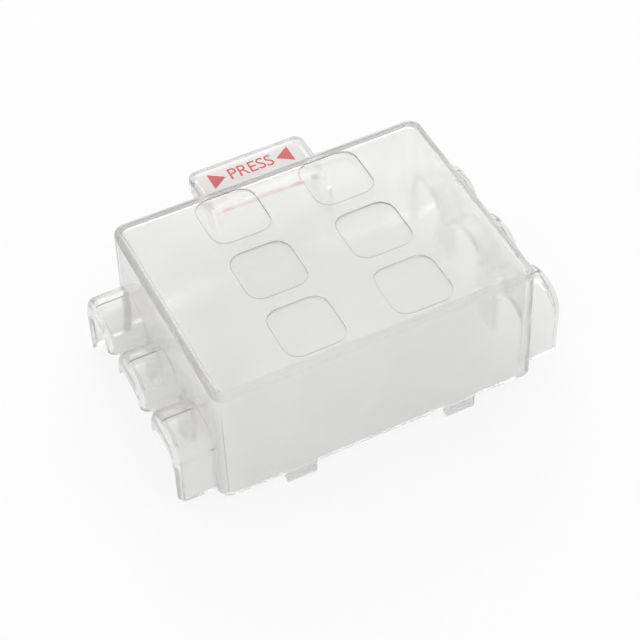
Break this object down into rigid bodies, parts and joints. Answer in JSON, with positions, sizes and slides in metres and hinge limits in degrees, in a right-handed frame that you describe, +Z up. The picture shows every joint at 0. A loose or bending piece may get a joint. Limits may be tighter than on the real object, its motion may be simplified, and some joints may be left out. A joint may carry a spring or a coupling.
{
  "type": "blade fuse block cover",
  "caption": "Clear clip-on box cover for a blade fuse block, with wire hoods along both sides, label pads and a spring latch.",
  "frame": {"origin": "middle of the footprint's box, level with the tips of the two front toes", "axes": "+X along the long front from left to right, +Y from the front wall to the latch, +Z up through the roof"},
  "size_m": [0.0826, 0.0606, 0.0317],
  "materials": {
    "clear_polycarbonate": "clear, polished",
    "printed_film": "semi-matte printed film"
  },
  "bodies": {
    "root": {"cover": "clear_polycarbonate", "latch_label": "printed_film"}
  },
  "joints": []
}
